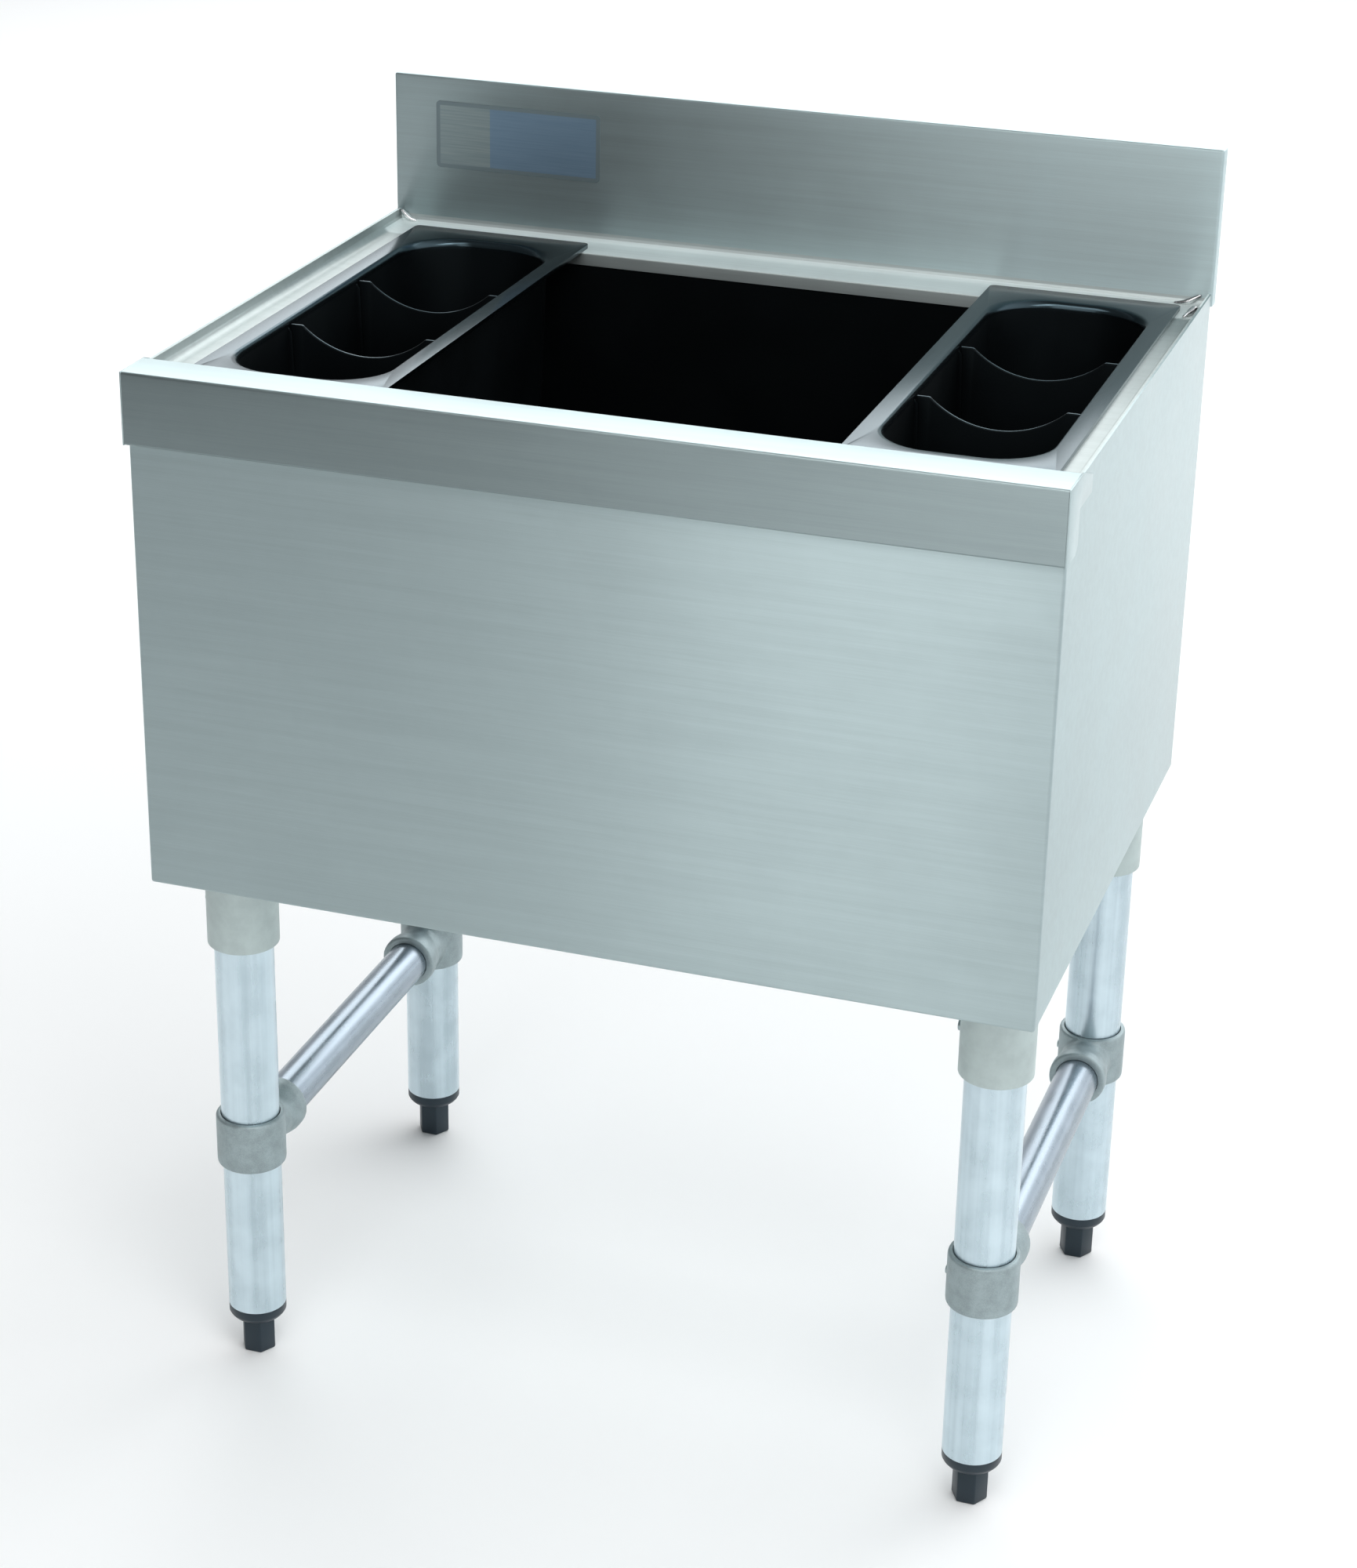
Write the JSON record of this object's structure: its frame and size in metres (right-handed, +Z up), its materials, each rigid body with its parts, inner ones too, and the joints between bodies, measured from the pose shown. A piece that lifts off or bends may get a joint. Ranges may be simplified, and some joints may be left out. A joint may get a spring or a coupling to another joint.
{
  "type": "underbar ice bin with bottle holders",
  "caption": "Free-standing underbar ice bin on tubular legs with cross rails, with a backsplash, a rolled front rail and a lift-out bottle holder at each end.",
  "frame": {"origin": "on the floor under the middle of the unit's overall width and depth, with the feet fully screwed in", "axes": "+X towards the right end seen by the bartender in front, +Y from the front rail towards the wall, +Z up"},
  "size_m": [0.61, 0.457, 0.856],
  "materials": {
    "stainless_sheet": "satin",
    "galvanised_tube": "satin",
    "cast_fitting": "matte",
    "screw_steel": "satin",
    "slate_plastic": "matte",
    "black_holder_plastic": "gloss",
    "black_liner_plastic": "satin",
    "insulating_foam": "matte",
    "drain_steel": "satin",
    "gasket_rubber": "matte",
    "label_foil": "satin"
  },
  "bodies": {
    "chassis": {"body_wrap": "stainless_sheet", "front_rail": "stainless_sheet", "rail_end_left": "stainless_sheet", "rail_end_right": "stainless_sheet", "deck": "stainless_sheet", "backsplash": "stainless_sheet", "back_panel": "stainless_sheet", "bottom_pan": "stainless_sheet", "leg_channel_left": "stainless_sheet", "leg_channel_right": "stainless_sheet", "leg_socket_front_left": "stainless_sheet", "leg_socket_front_right": "stainless_sheet", "leg_socket_back_left": "stainless_sheet", "leg_socket_back_right": "stainless_sheet", "leg_front_left": "galvanised_tube", "leg_front_right": "galvanised_tube", "leg_back_left": "galvanised_tube", "leg_back_right": "galvanised_tube", "cross_rail_left": "galvanised_tube", "cross_rail_right": "galvanised_tube", "rail_tee_front_left": "cast_fitting", "rail_tee_front_right": "cast_fitting", "rail_tee_back_left": "cast_fitting", "rail_tee_back_right": "cast_fitting", "socket_screw_front_left": "screw_steel", "socket_screw_front_right": "screw_steel", "socket_screw_back_left": "screw_steel", "socket_screw_back_right": "screw_steel", "tee_screw_front_left": "screw_steel", "tee_screw_front_right": "screw_steel", "tee_screw_back_left": "screw_steel", "tee_screw_back_right": "screw_steel", "foot_insert_front_left": "slate_plastic", "foot_insert_front_right": "slate_plastic", "foot_insert_back_left": "slate_plastic", "foot_insert_back_right": "slate_plastic", "ice_liner": "black_liner_plastic", "foam_insulation": "insulating_foam", "drain_body": "drain_steel", "drain_locknut": "drain_steel", "drain_gasket": "gasket_rubber", "label_plate": "label_foil"},
    "holder_left": {"bottle_holder_left": "black_holder_plastic"},
    "holder_right": {"bottle_holder_right": "black_holder_plastic"},
    "strainer": {"drain_strainer": "drain_steel"},
    "divider_front_left": {"divider_front_left": "black_holder_plastic"},
    "divider_rear_left": {"divider_rear_left": "black_holder_plastic"},
    "divider_front_right": {"divider_front_right": "black_holder_plastic"},
    "divider_rear_right": {"divider_rear_right": "black_holder_plastic"},
    "foot_front_left": {"foot_front_left": "slate_plastic"},
    "foot_front_right": {"foot_front_right": "slate_plastic"},
    "foot_back_left": {"foot_back_left": "slate_plastic"},
    "foot_back_right": {"foot_back_right": "slate_plastic"}
  },
  "joints": [
    {"name": "holder_left_lift", "type": "slide", "parent": "chassis", "child": "holder_left", "axis": [0, 0, 1], "range_m": [0, 0.26]},
    {"name": "divider_front_left_lift", "type": "slide", "parent": "holder_left", "child": "divider_front_left", "axis": [0, 0, 1], "range_m": [0, 0.235]},
    {"name": "divider_rear_left_lift", "type": "slide", "parent": "holder_left", "child": "divider_rear_left", "axis": [0, 0, 1], "range_m": [0, 0.235]},
    {"name": "holder_right_lift", "type": "slide", "parent": "chassis", "child": "holder_right", "axis": [0, 0, 1], "range_m": [0, 0.26]},
    {"name": "divider_front_right_lift", "type": "slide", "parent": "holder_right", "child": "divider_front_right", "axis": [0, 0, 1], "range_m": [0, 0.235]},
    {"name": "divider_rear_right_lift", "type": "slide", "parent": "holder_right", "child": "divider_rear_right", "axis": [0, 0, 1], "range_m": [0, 0.235]},
    {"name": "foot_front_left_adjust", "type": "slide", "parent": "chassis", "child": "foot_front_left", "axis": [0, 0, -1], "range_m": [0, 0.025]},
    {"name": "foot_front_right_adjust", "type": "slide", "parent": "chassis", "child": "foot_front_right", "axis": [0, 0, -1], "range_m": [0, 0.025]},
    {"name": "foot_back_left_adjust", "type": "slide", "parent": "chassis", "child": "foot_back_left", "axis": [0, 0, -1], "range_m": [0, 0.025]},
    {"name": "foot_back_right_adjust", "type": "slide", "parent": "chassis", "child": "foot_back_right", "axis": [0, 0, -1], "range_m": [0, 0.025]},
    {"name": "strainer_lift", "type": "slide", "parent": "chassis", "child": "strainer", "axis": [0, 0, 1], "range_m": [0, 0.06]}
  ]
}
